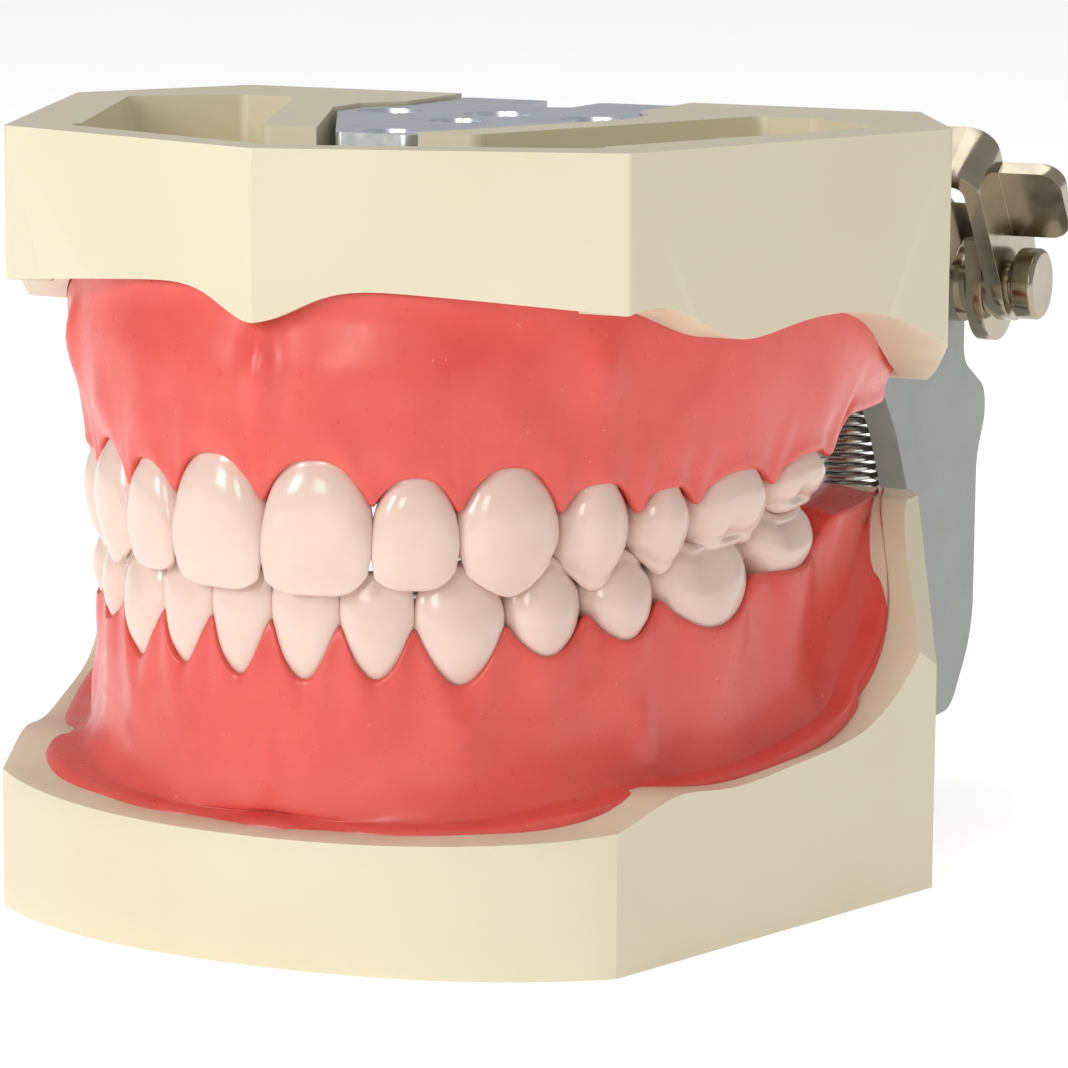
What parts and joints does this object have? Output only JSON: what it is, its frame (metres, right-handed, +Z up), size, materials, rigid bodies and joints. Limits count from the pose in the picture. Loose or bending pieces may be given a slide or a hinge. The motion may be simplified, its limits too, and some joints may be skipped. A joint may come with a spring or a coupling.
{
  "type": "typodont model",
  "caption": "Dental typodont: upper and lower jaw bases with red gums and removable teeth on a sprung metal hinge articulator.",
  "frame": {"origin": "on the bench, under the centre of the bounding box", "axes": "+Z up, +Y towards the hinge, +X the model's own left side"},
  "size_m": [0.0824, 0.098, 0.065],
  "materials": {
    "base_plastic": "satin moulded cream plastic",
    "gum": "slightly translucent satin red resin",
    "tooth_resin": "glossy ivory melamine resin",
    "arm_paint": "matte grey-green paint",
    "plate_steel": "satin steel",
    "plated_steel": "bright nickel plating",
    "spring_steel": "bright drawn wire",
    "screw_steel": "bright steel"
  },
  "bodies": {
    "lower_jaw": {"hinge_shaft": "plated_steel", "hinge_shaft_cap": "plated_steel", "hinge_spacers": "plated_steel", "hinge_washers": "plated_steel", "lower_gingiva": "gum", "lower_jaw_base": "base_plastic", "lower_left_canine": "tooth_resin", "lower_left_central_incisor": "tooth_resin", "lower_left_first_molar": "tooth_resin", "lower_left_first_premolar": "tooth_resin", "lower_left_lateral_incisor": "tooth_resin", "lower_left_second_molar": "tooth_resin", "lower_left_second_premolar": "tooth_resin", "lower_mounting_plate": "plate_steel", "lower_plate_screws": "screw_steel", "lower_right_canine": "tooth_resin", "lower_right_central_incisor": "tooth_resin", "lower_right_first_molar": "tooth_resin", "lower_right_first_premolar": "tooth_resin", "lower_right_lateral_incisor": "tooth_resin", "lower_right_second_molar": "tooth_resin", "lower_right_second_premolar": "tooth_resin", "lower_spring_studs": "plated_steel", "lower_tooth_screws": "screw_steel", "side_arm_left": "arm_paint", "side_arm_right": "arm_paint", "side_arm_screws": "screw_steel", "spring_left": "spring_steel", "spring_right": "spring_steel"},
    "upper_jaw": {"hinge_bracket": "plated_steel", "hinge_bracket_screws": "screw_steel", "upper_gingiva": "gum", "upper_jaw_base": "base_plastic", "upper_left_canine": "tooth_resin", "upper_left_central_incisor": "tooth_resin", "upper_left_first_molar": "tooth_resin", "upper_left_first_premolar": "tooth_resin", "upper_left_lateral_incisor": "tooth_resin", "upper_left_second_molar": "tooth_resin", "upper_left_second_premolar": "tooth_resin", "upper_mounting_plate": "plate_steel", "upper_plate_screws": "screw_steel", "upper_right_canine": "tooth_resin", "upper_right_central_incisor": "tooth_resin", "upper_right_first_molar": "tooth_resin", "upper_right_first_premolar": "tooth_resin", "upper_right_lateral_incisor": "tooth_resin", "upper_right_second_molar": "tooth_resin", "upper_right_second_premolar": "tooth_resin", "upper_spring_studs": "plated_steel", "upper_tooth_screws": "screw_steel"},
    "lever": {"lever_yoke": "plated_steel"}
  },
  "joints": [
    {"name": "jaw_hinge", "type": "hinge", "parent": "lower_jaw", "child": "upper_jaw", "pos_m": [0, 0.03495, 0.0482], "axis": [-1, 0, 0], "range_deg": [0, 50], "stiffness_Nm_per_rad": 0.05, "springref_deg": -34.38, "deforming": ["spring_left", "spring_right"]},
    {"name": "lever_tilt", "type": "hinge", "parent": "upper_jaw", "child": "lever", "pos_m": [0, 0.03495, 0.0482], "axis": [-1, 0, 0], "range_deg": [0, 15]}
  ]
}
